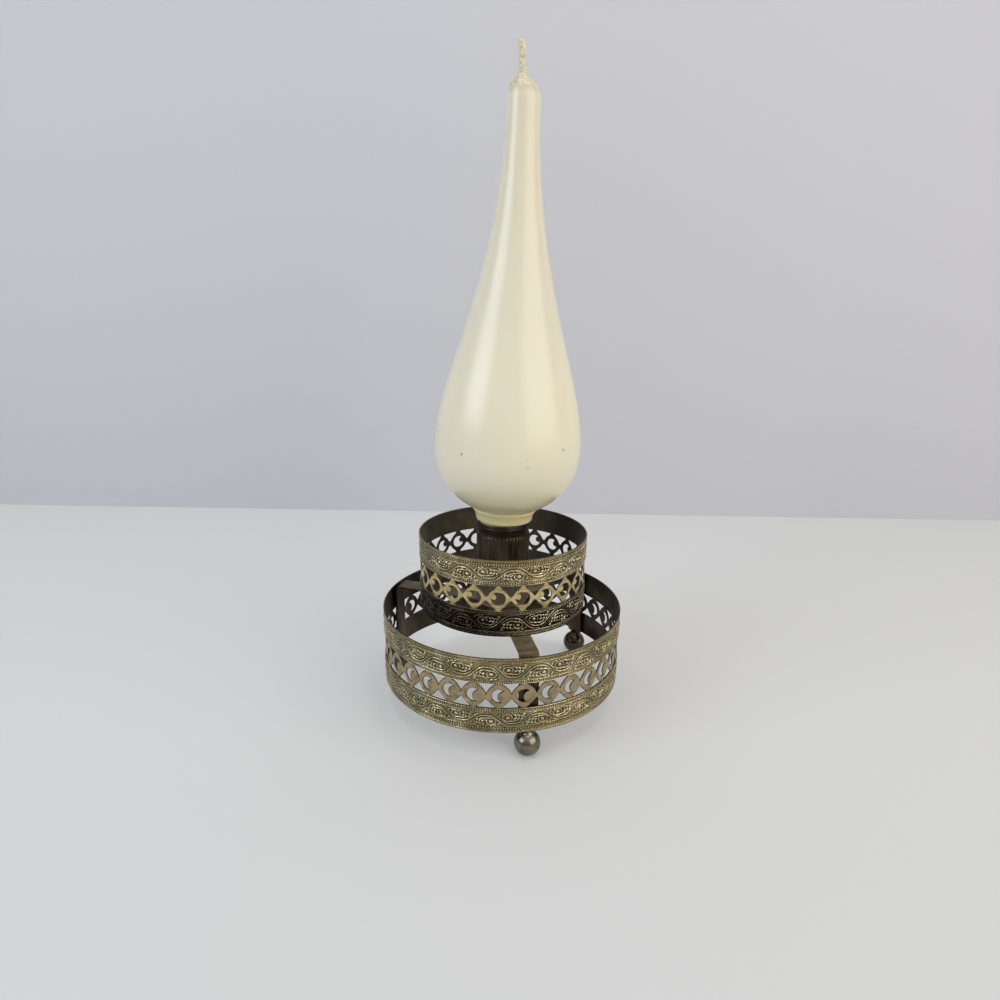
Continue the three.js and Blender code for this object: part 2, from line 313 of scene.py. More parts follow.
def cells(material, scale):
    made = node(material, "TexVoronoi", Scale=scale)
    wire(material, objectPlace(material), made.inputs["Vector"])
    return made.outputs["Distance"]


def blendColours(material, share, first, second, kind="MIX"):
    made = node(material, "Mix", data_type="RGBA", blend_type=kind)
    for value, socket in ((share, 0), (first, 6), (second, 7)):
        if isinstance(value, bpy.types.NodeSocket):
            wire(material, value, made.inputs[socket])
        else:
            made.inputs[socket].default_value = value if socket == 0 else (*value, 1.0)
    return made.outputs[2]


def fitRange(material, source, low, high, newLow, newHigh):
    made = node(material, "MapRange")
    for socket, value in zip(("From Min", "From Max", "To Min", "To Max"), (low, high, newLow, newHigh)):
        made.inputs[socket].default_value = value
    wire(material, source, made.inputs["Value"])
    return made.outputs["Result"]


def reckoned(material, operation, first, second):
    made = node(material, "Math", operation=operation)
    wire(material, first, made.inputs[0])
    wire(material, second, made.inputs[1])
    return made.outputs["Value"]


def times(material, first, second):
    return reckoned(material, "MULTIPLY", first, second)


def along(material, axis, start, end, first, last):
    # goes from the first value to the last between two places along an axis, in mm
    parts = node(material, "SeparateXYZ")
    wire(material, objectPlace(material), parts.inputs["Vector"])
    return fitRange(material, parts.outputs[axis], start * mm, end * mm, first, last)


def nearPlace(material, place, inner, outer, most):
    # strongest within one distance of a place and gone at another, in mm
    away = node(material, "VectorMath", operation="DISTANCE")
    wire(material, objectPlace(material), away.inputs[0])
    away.inputs[1].default_value = Vector(place) * mm
    return fitRange(material, away.outputs["Value"], inner * mm, outer * mm, most, 0.0)


def lengthOf(material, place):
    made = node(material, "VectorMath", operation="LENGTH")
    wire(material, place, made.inputs[0])
    return made.outputs["Value"]


def paint(material, colour):
    wire(material, colour, shaderOf(material).inputs["Base Color"])


def paintSoFar(material):
    return shaderOf(material).inputs["Base Color"].links[0].from_socket


def paintOver(material, share, colour):
    paint(material, blendColours(material, share, paintSoFar(material), colour))


def tinted(material, colour):
    return blendColours(material, 1.0, paintSoFar(material), colour, "MULTIPLY")


def unevenGloss(material, scale, low, high):
    patches = fitRange(material, cloud(material, scale), 0.3, 0.7, low, high)
    wire(material, patches, shaderOf(material).inputs["Roughness"])


def dents(material, source, strength, depth):
    bump = node(material, "Bump", Strength=strength, Distance=depth * mm)
    wire(material, source, bump.inputs["Height"])
    wire(material, bump.outputs["Normal"], shaderOf(material).inputs["Normal"])


def galleryFinish(name, tones):
    # aged brass: dark in the grooves beside each line and rubbed bright on its top, with painted shade
    # along X
    material = newMaterial(name, Metallic=0.9)
    relief = node(material, "Attribute", attribute_name="relief").outputs["Fac"]
    paint(material, ramp(material, relief, [
        (0.14, tones["groove"]), (0.44, tones["ground"]), (0.64, tones["ground"]), (0.95, tones["ridge"]),
    ]))
    cooler = times(
        material, fitRange(material, cloud(material, 48), 0.36, 0.62, 0.0, 1.0),
        along(material, "X", -45, 15, 0.95, 0.35),
    )
    paintOver(material, cooler, tinted(material, tones["patch"]))
    tarnishedAndShaded = tinted(material, tones["brown"])
    # tarnished patches that were not rubbed, times painted shade that changes along X from the left side to
    # the right
    unrubbedAndShaded = times(
        material, fitRange(material, cloud(material, 130, 3.0), 0.46, 0.62, 1.0, tones["rubbedSpots"]),
        along(material, "X", -12, 20, 1.0, tones["rightSideShade"]),
    )
    paintOver(material, unrubbedAndShaded, tarnishedAndShaded)
    # painted shade: the brass darkens towards the right side, from X 24 to 48 mm
    paintOver(material, along(material, "X", 24, 48, 0.0, 0.8), tarnishedAndShaded)
    specks = fitRange(material, cloud(material, 1700, 2.0), 0.36, 0.66, 0.72, 1.25)
    paint(material, tinted(material, specks))
    unevenGloss(material, 300, 0.2, 0.38)
    dents(material, cells(material, 2300.0), 0.5, 0.16)
    return material


def latticeFinish(name, face, stain, copper):
    # flat links, rubbed to the bare brass, with darker and redder stains
    material = newMaterial(name, Metallic=0.95)
    stains = ramp(material, cloud(material, 330, 6.0, 0.7), [(0.38, stain), (0.56, face)])
    redder = fitRange(material, cloud(material, 62, 2.0), 0.5, 0.66, 0.0, 0.7)
    stains = blendColours(material, redder, stains, copper)
    geometry = node(material, "NewGeometry")
    worn = fitRange(material, geometry.outputs["Pointiness"], 0.42, 0.58, 0.0, 1.0)
    paint(material, blendColours(material, worn, stain, stains))
    unevenGloss(material, 420, 0.26, 0.44)
    dents(material, cloud(material, 420, 4.0), 0.6, 0.32)
    return material


def plainMetal(name, dark, light, roughness, scale, dent, stretch=None, metallic=0.95):
    # satin or polished metal with soft stains
    material = newMaterial(name, Metallic=metallic)
    paint(material, ramp(material, cloud(material, scale, 5.0, 0.6, stretch), [(0.3, dark), (0.7, light)]))
    unevenGloss(material, 3 * scale, *roughness)
    dents(material, cloud(material, 5 * scale, 3.0), dent, 0.06)
    return material


def strapFinish():
    # satin on top of the frame; painted shade darkens it on its left arm and near its bends, and down its
    # legs it is partly tarnish and partly painted shade
    material = plainMetal("satinStrap", (0.24, 0.2, 0.125), (0.54, 0.46, 0.3), (0.38, 0.56), 130, 0.4)
    top = lowAndHigh("leg_frame")[1]
    tarnishedAndShaded = tinted(material, (0.17, 0.138, 0.112))
    # painted shade on the left arm
    paintOver(material, along(material, "X", -28, -40, 0.0, 0.8), tarnishedAndShaded)
    reach = lengthOf(material, scaledPlace(material, (1, 1, 0)))
    # darker down the legs: partly tarnish, partly painted shade
    paintOver(material, fitRange(material, reach, 46 * mm, 51 * mm, 0.0, 0.85), tarnishedAndShaded)
    # painted shade from the bends down, where they would catch the lamps
    paintOver(material, along(material, "Z", top - 0.05, top - 1.4, 0.0, 0.96), tarnishedAndShaded)
    return material


def upperInsideFinish():
    # olive brown, and darker towards the right
    material = plainMetal(
        "oliveInside", (0.05, 0.04, 0.027), (0.17, 0.137, 0.094), (0.34, 0.5), 60, 0.4, metallic=0.45
    )
    paintOver(material, along(material, "X", 4, 30, 0.0, 0.7), (0.035, 0.027, 0.02))
    return material


def ballFinish():
    # polished, and darkened towards the back: a painted reflection of the ring's dark inside, with some
    # oxide
    material = plainMetal("polishedBall", (0.11, 0.096, 0.07), (0.28, 0.25, 0.185), (0.16, 0.3), 260, 0.3)
    # painted reflection: darker towards the back, where the balls face the ring's dark inside
    paintOver(material, along(material, "Y", -20, 25, 0.0, 0.8), (0.045, 0.034, 0.026))
    return material


def socketFinish():
    # painted shade darkens its collar, near the rim, to nearly black; and it is a duller brown towards its
    # floor
    material = plainMetal(
        "darkSocket", (0.025, 0.019, 0.012), (0.19, 0.15, 0.098), (0.28, 0.46), 190, 0.5, (1, 1, 0.25)
    )
    floor, rim = lowAndHigh("candle_socket")
    # painted shade on the collar, below the rim
    paintOver(material, along(material, "Z", rim - 6.5, rim - 4, 0.0, 0.6), (0.02, 0.014, 0.009))
    dull = along(material, "Z", floor + 17, floor + 9, 0.0, 1.0)
    paintOver(material, dull, (0.3, 0.225, 0.155))
    wire(material, fitRange(material, dull, 0.0, 1.0, 0.95, 0.25), shaderOf(material).inputs["Metallic"])
    return material


def waxFinish():
    # ivory wax: darker towards the neck, which is painted shade; yellower and brighter towards its foot,
    # partly the wax's own tone and partly painted light through the thin wax; with a few specks of dust
    colours = {
        "body": (0.9, 0.84, 0.65),
        "neck": (0.83, 0.778, 0.61),
        "foot": (1.0, 0.84, 0.42),
        "speck": (0.16, 0.12, 0.06),
        "stain": (0.62, 0.49, 0.33),
        "cap": (0.6, 0.52, 0.37),
        "grain": (0.4, 0.29, 0.17),
    }
    material = newMaterial(
        "ivoryWax",
        Roughness=0.27,
        Subsurface_Weight=0.3,
        Subsurface_Radius=(0.008, 0.006, 0.0035),
        Subsurface_Scale=1.0,
        IOR=1.46,
        Coat_Weight=0.4,
        Coat_Roughness=0.28,
    )
    top = lowAndHigh("candle_socket")[1]
    tip = lowAndHigh("candle_wax")[1]
    # painted shade: the wax is painted darker from the belly up the neck
    paintedNeckShade = along(material, "Z", top + 40, top + 85, 0.0, 1.0)
    paint(material, blendColours(material, paintedNeckShade, colours["body"], colours["neck"]))
    # partly painted light: the foot is painted brighter and yellower for the light through its thin wax,
    # where it lies in the belly's shade
    paintOver(material, along(material, "Z", top + 22, top + 1, 0.0, 1.0), colours["foot"])
    paintOver(material, fitRange(material, cloud(material, 42, 1.0), 0.3, 0.75, 0.0, 0.08), colours["foot"])
    # single specks, scattered thinly
    near = fitRange(material, cells(material, 95.0), 0.035, 0.07, 1.0, 0.0)
    few = fitRange(material, cloud(material, 60, 1.0), 0.6, 0.64, 0.0, 0.85)
    paintOver(material, times(material, near, few), colours["speck"])
    # a patch of fine specks low on the front, and grainy wax at the tip
    grains = fitRange(material, cloud(material, 1500, 2.0), 0.54, 0.66, 0.0, 1.0)
    patch = nearPlace(material, (10.3, -30.0, top + 34), 0.5, 5, 0.5)
    paintOver(material, times(material, grains, patch), colours["stain"])
    cap = along(material, "Z", tip - 7, tip - 2, 0.0, 0.75)
    paintOver(material, cap, colours["cap"])
    capGrains = fitRange(material, cloud(material, 1200, 2.0), 0.48, 0.58, 0.0, 0.8)
    paintOver(material, times(material, capGrains, cap), colours["grain"])
    # one smear, and three larger specks
    paintOver(material, nearPlace(material, (9.3, -30.4, top + 31), 0.2, 1.4, 0.3), colours["stain"])
    for x, y, rise in ((-27.6, -9.3, 41.2), (-16.9, -25.3, 35.1), (23.5, -22.1, 36.8)):
        paintOver(material, nearPlace(material, (x, y, top + rise), 0.3, 0.65, 0.8), colours["speck"])
    return material


def wickFinish():
    material = newMaterial("waxedCotton", Roughness=0.62, Subsurface_Weight=0.2)
    threads = [(0.36, (0.56, 0.43, 0.25)), (0.52, (0.8, 0.73, 0.55))]
    paint(material, ramp(material, cloud(material, 1100, 3.0), threads))
    dents(material, cloud(material, 1800, 3.0), 0.6, 0.12)
    return material


finishes = {
    "gallery": galleryFinish("agedGalleryBrass", {
        "groove": (0.1, 0.074, 0.036),
        "ground": (0.44, 0.35, 0.18),
        "ridge": (0.96, 0.87, 0.6),
        "patch": (0.68, 0.8, 0.9),
        "brown": (0.62, 0.58, 0.51),
        "rubbedSpots": 0.2,
        "rightSideShade": 0.9,
    }),
    # a darker copy of the brass for the upper ring's lower band: partly tarnish, partly painted shade, as
    # that band lies in shadow and reflects the lower ring's dark inside
    "shadedBrownGallery": galleryFinish("tarnishedAndShadedGalleryBrass", {
        "groove": (0.012, 0.008, 0.004),
        "ground": (0.07, 0.05, 0.028),
        "ridge": (0.9, 0.78, 0.5),
        "patch": (0.6, 0.62, 0.66),
        "brown": (0.14, 0.122, 0.108),
        "rubbedSpots": 0.82,
        "rightSideShade": 0.1,
    }),
    "upperLattice": latticeFinish(
        "rubbedUpperLattice", (0.9, 0.77, 0.44), (0.4, 0.3, 0.14), (0.76, 0.56, 0.3)
    ),
    "lowerLattice": latticeFinish(
        "rubbedLowerLattice", (0.58, 0.475, 0.285), (0.25, 0.2, 0.115), (0.66, 0.42, 0.28)
    ),
    "inside": plainMetal("darkInside", (0.015, 0.011, 0.007), (0.1, 0.075, 0.045), (0.3, 0.5), 60, 0.4),
    "upperInside": upperInsideFinish(),
    "strap": strapFinish(),
    "ball": ballFinish(),
    "socket": socketFinish(),
    "wax": waxFinish(),
    "wick": wickFinish(),
}
print("materials made:", len(finishes))


# Gallery strip, flat: X along it, -Y out of its face and Z up, with Z 0 at its middle

strip = {
    "height": 33.2,
    "wall": 0.6,
    "rim": 0.75,
    "rimOut": 0.3,
    "line": 0.2,  # raised lines beside the bead rows
    "latticeHeight": 11.2,
    "sheetStep": 0.22,  # grid of the embossed sheet
    "press": 1.45,  # how deep the scrolls are
    "stem": 0.6,  # from the stem's middle to each of its ridges
    "grain": 0.035,  # depth of the stippled ground
    "contrast": 0.25,  # relief beside its surroundings that counts as a bright ridge
    "beadTurn": 24,  # degrees that a bead leans
    "beadShare": 0.36,  # half a bead's width, as a share of its pitch
    "beadOut": 0.3,
}
# Rows from an edge inwards: middle, height and pitch of a bead row, and the band of scrolls
edgeRows = {
    "coarse": {"beads": [(1.95, 1.5, 1.02), (10.0, 1.4, 0.98)], "scrolls": (2.9, 9.1)},
    "fine": {"beads": [(1.45, 0.9, 0.8), (10.4, 1.1, 0.92)], "scrolls": (2.3, 9.6)},
}
# The lower ring's windows have bulging sides, and the upper ring's links are round
rings = {
    "lower": {
        "node": "lower_gallery_ring", "turned": False, "seam": 95.0,
        "links": 33, "firstLink": -101.6, "scrolls": 16,
        "lattice": "lowerLattice", "inside": "inside",
        "comma": (2.3, -0.5, 2.75), "eye": 2.8,
        "pillar": 2.6, "waist": 2.4, "waistShift": 0.15, "bulges": (0.15, 0.5),
    },
    "upper": {
        "node": "upper_gallery_ring", "turned": True, "seam": 90.0,
        "links": 23, "firstLink": -123.5, "scrolls": 11,
        "lattice": "upperLattice", "inside": "upperInside",
        "comma": (1.95, -0.75, 1.4), "eye": 2.75,
        "pillar": 2.1, "waist": 1.9, "waistShift": -0.1, "round": 4.52,
    },
}
link = {
    "bridge": 0.25,
    "tuck": 1.0,  # how far the lattice goes on behind each band
    "recess": 0.08,
    "rounding": 0.28,  # of the cut edges
}
# Raised parts in one hollow of the running scroll. X is from the hollow's middle, and a height is a
# share of the band's height, then mm
boss = {"place": (1.9, -0.14), "size": (1.9, 1.5), "turn": -8, "out": 0.3, "curl": (2.25, 1.62)}
leafEdge = {"place": (-0.4, 0.12), "size": (4.9, 3.4), "from": 212, "turn": 80, "thickness": 0.2}
# Rows of three lobes: the first one's place, the step to the next and how the row bends
leafRows = [
    {"x": -3.7, "share": -0.16, "z": 0.62, "step": (1.25, -0.1), "bend": 0,
     "size": (1.7, 0.78), "turn": 46, "fan": -8, "out": 0.4},
    {"x": -3.8, "share": -0.16, "z": -0.66, "step": (1.3, -0.12), "bend": 0,
     "size": (1.6, 0.74), "turn": -30, "fan": -8, "out": 0.36},
    {"x": 2.2, "share": -0.44, "z": 0, "step": (1.5, 0), "bend": 0.24,
     "size": (1.5, 0.6), "turn": 10, "fan": 22, "out": 0.3},
    {"x": -4.7, "share": -0.42, "z": 0, "step": (0.1, 0.62), "bend": 0,
     "size": (1.8, 0.54), "turn": 164, "fan": -10, "out": 0.3},
]


def tube(points, thickness, swell=None):
    # a round line through points
    line = [(x, 0, z, swell(x) if swell else 1) for x, z in points]
    return curveMesh(
        "line", [line], dimensions="3D", bevel_depth=thickness * mm, bevel_resolution=2, use_fill_caps=True
    )


def pebble(name, place, halfSize, turn, segments, rows):
    # a flattened ball that lies on the band, turned in its face; mm and degrees
    deselectAll()
    bpy.ops.mesh.primitive_uv_sphere_add(segments=segments, ring_count=rows, radius=1.0)
    piece = added(name)
    piece.scale = [value * mm for value in halfSize]
    piece.rotation_euler = (0, math.radians(turn), 0)
    piece.location = [value * mm for value in place]
    return settle(piece)


def lobe(x, z, size, turn, out):
    # one lobe of a leaf
    return pebble("lobe", (x, 0, z), (size[0] / 2, out, size[1] / 2), -turn, 12, 8)


def stemHeight(share, reach):
    turn = 2 * math.pi * share
    return reach * (0.4 * math.sin(turn) + 0.03 * math.sin(3 * turn))


def besideStem(period, reach, off, first, last, steps):
    # points at a steady distance from the stem's middle line
    points = []
    small = 0.001
    for step in range(steps + 1):
        share = first + (last - first) * step / steps
        rise = stemHeight(share + small, reach) - stemHeight(share - small, reach)
        slope = rise / (2 * small * period)
        across = math.hypot(1, slope)
        points.append((period * share - off * slope / across, stemHeight(share, reach) + off / across))
    return points


def halfScroll(period, reach):
    # one hollow, under the stem's crest: a round boss, the stroke that curls round it, the leaf
    # behind it, and leaflets in the corners between the stem and the bead rows
    middle = period / 4
    bossPlace = (middle + boss["place"][0], boss["place"][1] * reach)
    parts = [lobe(*bossPlace, boss["size"], boss["turn"], boss["out"])]
    curl = besideStem(period, reach, -1.75, 0.06, 0.2, 10)
    for step in range(15):
        wide, high = [(1 - 0.016 * step) * size for size in boss["curl"]]
        curl += onOval(bossPlace, wide, high, [100 - 22 * step])
    parts.append(tube(curl, 0.26))
    x, share = leafEdge["place"]
    turns = [leafEdge["from"] + leafEdge["turn"] * step / 9 for step in range(10)]
    parts.append(tube(onOval((middle + x, share * reach), *leafEdge["size"], turns), leafEdge["thickness"]))
    for row in leafRows:
        for step in range(3):
            x = middle + row["x"] + row["step"][0] * step
            z = row["share"] * reach + row["z"] + row["step"][1] * step + row["bend"] * step * step
            parts.append(lobe(x, z, row["size"], row["turn"] + row["fan"] * step, row["out"]))
    return joined(parts, "halfScroll")


def scrollDie(period, low, high):
    # raised parts of one repeat and its neighbours, between two heights of the band
    reach = high - low
    first = halfScroll(period, reach)
    second = copyOf(first)
    second.rotation_euler = (0, math.pi, 0)
    second.location = (period * mm, 0, 0)
    settle(second)
    motif = joined([first, second], "motif")
    repeats = [motif]
    for side in (-1, 1):
        repeats.append(copyOf(motif))
        repeats[-1].location.x = side * period * mm
        settle(repeats[-1])
    # the stem is a groove between two ridges, each thicker on the inside of a turn
    for side in (-1, 1):
        ridge = besideStem(period, reach, side * strip["stem"], -1, 2, 168)
        repeats.append(tube(
            ridge, 0.27, swell=lambda x: 0.7 - 0.3 * side * math.sin(2 * math.pi * x / period - 0.5)
        ))
    die = joined(repeats, "die")
    die.location.z = (low + high) / 2 * mm
    die.scale.y = strip["press"]
    return settle(die)


def bar(period, low, high, out):
    # straight raised line along the strip
    return block("bar", (period / 2, 0, (low + high) / 2), (3 * period, 2 * out, high - low))


def markRelief(sheet, rows):
    # how far each point stands out of its surroundings, for the finish
    even = copyOf(sheet)
    applyModifier(even, "SMOOTH", factor=0.5, iterations=26, use_x=False, use_z=False)
    relief = sheet.data.attributes.new("relief", "FLOAT", "POINT")
    for vertex, evened, value in zip(sheet.data.vertices, even.data.vertices, relief.data):
        above = (evened.co.y - vertex.co.y) / (strip["contrast"] * mm)
        height = vertex.co.z / mm
        underBeads = any(abs(height - row) < size / 2 for row, size, pitch in rows["beads"])
        value.value = 0.12 if underBeads else min(1.0, max(0.0, 0.5 + above))
    remove(even)


def embossedBand(ring, radius, side, rows):
    # a sheet pressed over its die and repeated along the strip; side 1 is the upper band, -1 the lower
    period = 2 * math.pi * radius / ring["scrolls"]
    half = strip["height"] / 2
    depth = half - strip["latticeHeight"] / 2
    line = strip["line"]
    parts = [scrollDie(period, *rows["scrolls"]), bar(period, -line, strip["rim"], strip["rimOut"])]
    for middle, height, pitch in rows["beads"]:
        parts.append(bar(period, middle - height / 2 - line, middle - height / 2, line))
        parts.append(bar(period, middle + height / 2, middle + height / 2 + line, line))
    upright = (math.pi / 2, 0, 0)
    x, z = period / 2 * mm, depth / 2 * mm
    deselectAll()
    bpy.ops.mesh.primitive_plane_add(size=1, rotation=upright, location=(x, 0, z))
    ground = added("ground")
    ground.scale = (3 * period * mm, 3 * depth * mm, 1)
    die = joined([settle(ground)] + parts, "die")
    deselectAll()
    bpy.ops.mesh.primitive_grid_add(
        x_subdivisions=round(period / strip["sheetStep"]), y_subdivisions=round(depth / strip["sheetStep"]),
        size=1, rotation=upright, location=(x, -2 * mm, z),
    )
    sheet = added("sheet")
    sheet.scale = (period * mm, depth * mm, 1)
    settle(sheet)
    applyModifier(
        sheet, "SHRINKWRAP", target=die, wrap_method="PROJECT", use_project_y=True,
        use_positive_direction=True, use_negative_direction=False,
    )
    remove(die)
    # stippled ground, the same at both ends of the repeat
    around = period / (2 * math.pi)
    for vertex in sheet.data.vertices:
        angle = vertex.co.x / (around * mm)
        place = Vector((around * math.cos(angle), around * math.sin(angle), vertex.co.z / mm))
        vertex.co.y -= strip["grain"] * noise.noise(2.1 * place) * mm
    repeatAlong(sheet, ring["scrolls"], period, 0.02)
    applyModifier(sheet, "SMOOTH", factor=0.4, iterations=1, use_x=False, use_z=False)
    markRelief(sheet, rows)
    # the band starts at the strip's edge, and the upper one is turned to mirror the lower one
    for vertex in sheet.data.vertices:
        vertex.co.x *= -side
        vertex.co.z = -side * (vertex.co.z - half * mm)
    return sheet


def bendRound(piece, radius, firstAngle, middleZ, turned):
    turn = -1 if turned else 1
    for vertex in piece.data.vertices:
        angle = math.radians(firstAngle) + turn * vertex.co.x / (radius * mm)
        out = radius * mm - vertex.co.y
        vertex.co = (out * math.cos(angle), out * math.sin(angle), middleZ * mm + turn * vertex.co.z)


def closeRing(piece, radius, wall):
    # joins the ends, and gives the ring its edges and its plain inside
    editing(piece)
    bpy.ops.mesh.remove_doubles(threshold=0.03 * mm)
    chooseOpenEdges()
    shrink = (radius - wall) / radius
    bpy.ops.mesh.extrude_region_move()
    bpy.ops.transform.resize(value=(shrink, shrink, 1), center_override=(0, 0, 0))
    bpy.ops.mesh.bridge_edge_loops()
    doneFacingOut()


def darkenInside(piece, finish, facing=0.3):
    # second finish for the cut edges and for the faces that look at the ring's axis; on the cut edges its
    # dark tone is partly painted shade, the dark outlines round the windows
    piece.data.materials.append(finishes[finish])
    for face in piece.data.polygons:
        out = Vector((face.center.x, face.center.y, 0)).normalized()
        if face.normal.dot(out) < facing:
            face.material_index = 1


def windowSide(ring, side, wide, border, apex):
    # from a window's corner at the border to its apex, in the right half of the link's cell
    corner = Vector((side - wide, border))
    point = Vector((side, apex))
    if "round" in ring:
        arc = onOval((0, 0), 1, math.copysign(1, border), range(64, 23, -5))
        return [corner, *[Vector(place) * ring["round"] for place in arc], point]
    depth = apex - border
    across = Vector((abs(depth), -math.copysign(wide, depth))).normalized()
    middle = (corner + point) / 2 + across * 2 * ring["bulges"][border > 0]
    steps = 7
    return [
        corner * (1 - t) ** 2 + middle * 2 * t * (1 - t) + point * t * t
        for t in [step / steps for step in range(steps + 1)]
    ]


def latticeOutline(ring, pitch):
    # one link and half of the windows beside it
    high = strip["latticeHeight"] / 2
    border = high - link["bridge"]
    wide = (pitch - ring["pillar"]) / 2
    side = pitch / 2
    lowApex = -ring["waist"] / 2 - ring["waistShift"]
    lowerSide = windowSide(ring, side, wide, -border, lowApex)
    upperSide = windowSide(ring, side, wide, border, lowApex + ring["waist"])
    right = [Vector((side, -high - link["tuck"])), Vector((side, -border)), *lowerSide]
    right += [*reversed(upperSide), Vector((side, border)), Vector((side, high + link["tuck"]))]
    left = [Vector((-point.x, point.y)) for point in reversed(right)]
    return right + left


def crescentOutline(eye, side, rise, radius):
    # the eye less a round comma at its side
    comma = Vector((side, rise))
    reach = comma.length
    heading = math.atan2(comma.y, comma.x)
    along = (eye**2 - radius**2 + reach**2) / (2 * reach)
    half = math.acos(along / eye)
    inner = math.atan2(math.sqrt(eye**2 - along**2), along - reach)
    outer = [heading + half + (2 * math.pi - 2 * half) * step / 26 for step in range(27)]
    back = [heading - inner + 2 * (inner - math.pi) * step / 12 for step in range(1, 12)]
    points = [Vector((math.cos(angle), math.sin(angle))) * eye for angle in outer]
    return points + [comma + Vector((math.cos(angle), math.sin(angle))) * radius for angle in back]


def piercedLattice(ring, radius, name):
    pitch = 2 * math.pi * radius / ring["links"]
    loops = [latticeOutline(ring, pitch), crescentOutline(ring["eye"], *ring["comma"])]
    lines = [[(point.x, point.y, 0, 1) for point in loop] for loop in loops]
    lattice = curveMesh(name, lines, dimensions="2D", fill_mode="BOTH")
    lattice.rotation_euler = (math.pi / 2, 0, 0)
    settle(lattice)
    editing(lattice)
    slicesAcross(pitch)
    bpy.ops.mesh.select_all(action="SELECT")
    bpy.ops.mesh.remove_doubles(threshold=0.005 * mm)
    done()
    repeatAlong(lattice, ring["links"], pitch, 0.01)
    for vertex in lattice.data.vertices:
        vertex.co.y += link["recess"] * mm
    return lattice


def beadRows(radius, name):
    # slanted beads in rows along both edges of the strip
    rows = []
    for side, rowName in ((-1, "coarse"), (1, "fine")):
        for middle, height, pitch in edgeRows[rowName]["beads"]:
            count = round(2 * math.pi * radius / pitch)
            place = (0, -0.04, side * (strip["height"] / 2 - middle))
            halfSize = (strip["beadShare"] * pitch, strip["beadOut"], 0.5 * height)
            bead = pebble("bead", place, halfSize, strip["beadTurn"], 8, 5)
            repeatAlong(bead, count, 2 * math.pi * radius / count)
            rows.append(bead)
    beads = joined(rows, name)
    relief = beads.data.attributes.new("relief", "FLOAT", "POINT")
    heights = [min(0.9, max(0.1, -vertex.co.y / (strip["beadOut"] * mm))) for vertex in beads.data.vertices]
    relief.data.foreach_set("value", heights)
    return beads


def lapTab(name):
    # short overlap behind the seam, on both bands
    lap = {"wide": 6.5, "tall": 9.2, "thick": 0.36, "behind": 0.14, "middle": 11.2}
    tabs = []
    for side in (-1, 1):
        place = (0, strip["wall"] + lap["behind"], side * lap["middle"])
        tab = block("tab", place, (lap["wide"], lap["thick"], lap["tall"]))
        editing(tab)
        slicesAcross(lap["wide"])
        done()
        tabs.append(tab)
    tab = joined(tabs, name)
    roundEdges(tab, 0.12, 50)
    return tab


def dress(piece, finish, body, nodeName, slotName):
    piece.data.materials.clear()
    piece.data.materials.append(finishes[finish])
    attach(piece, body)
    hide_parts(nodeName)


for ringName, ring in rings.items():
    radius = round(radiusOf(ring["node"]), 1) - strip["rimOut"]
    middleZ = sum(lowAndHigh(ring["node"])) / 2
    bend = (radius, ring["firstLink"], middleZ, ring["turned"])
    onRing = ("holder", ring["node"], "gallery_brass")
    for side, rowName, place in ((-1, "coarse", "near"), (1, "fine", "far")):
        band = embossedBand(ring, radius, side, edgeRows[rowName])
        band.name = band.data.name = f"{ringName}_ring_{place}_band"
        bendRound(band, *bend)
        closeRing(band, radius, strip["wall"])
        # the upper ring's lower band takes the darker brass, which is partly painted shade
        tarnishedAndShaded = ring["turned"] and side > 0
        dress(band, "shadedBrownGallery" if tarnishedAndShaded else "gallery", *onRing)
        darkenInside(band, ring["inside"])
        smooth(band, 50)
    lattice = piercedLattice(ring, radius, f"{ringName}_ring_lattice")
    bendRound(lattice, *bend)
    editing(lattice)
    bpy.ops.mesh.remove_doubles(threshold=0.02 * mm)
    doneFacingOut()
    applyModifier(lattice, "SOLIDIFY", thickness=(strip["wall"] - 1.5 * link["recess"]) * mm, offset=-1.0)
    roundEdges(lattice, link["rounding"], 50, clamp=False)
    dress(lattice, ring["lattice"], *onRing)
    darkenInside(lattice, ring["inside"], 0.95)
    smooth(lattice, 40)
    beads = beadRows(radius, f"{ringName}_ring_beads")
    bendRound(beads, *bend)
    dress(beads, "gallery", *onRing)
    # beads on that band take the same darker brass, partly painted shade
    if ring["turned"]:
        beads.data.materials.append(finishes["shadedBrownGallery"])
        for face in beads.data.polygons:
            if face.center.z < middleZ * mm:
                face.material_index = 1
    smooth(beads, 180)
    tab = lapTab(f"{ringName}_ring_lap")
    bendRound(tab, radius, ring["seam"], middleZ, False)
    dress(tab, "strap", *onRing)
    smooth(tab)
    print(ringName, "gallery ring made, radius", radius, "mm")


# Leg frame: a hub and three arms that bend down, each ending in a tongue in its ball

legs = {
    "angles": {"ball_foot_front": -77.5, "ball_foot_back_right": 42.5, "ball_foot_back_left": 162.5},
    "width": 8.2,
    "thick": 0.9,
    "bendRadius": 3.2,
    "cornerRadius": 1.4,
    "tongueWidth": 2.6,
    "tongueRoot": 0.2,  # how far the tongue goes up into the leg
    "overBall": 0.3,
    "insideSocket": 1.9,  # the hub is smaller than the socket
    "rounding": 0.16,  # of the strip's edges
}


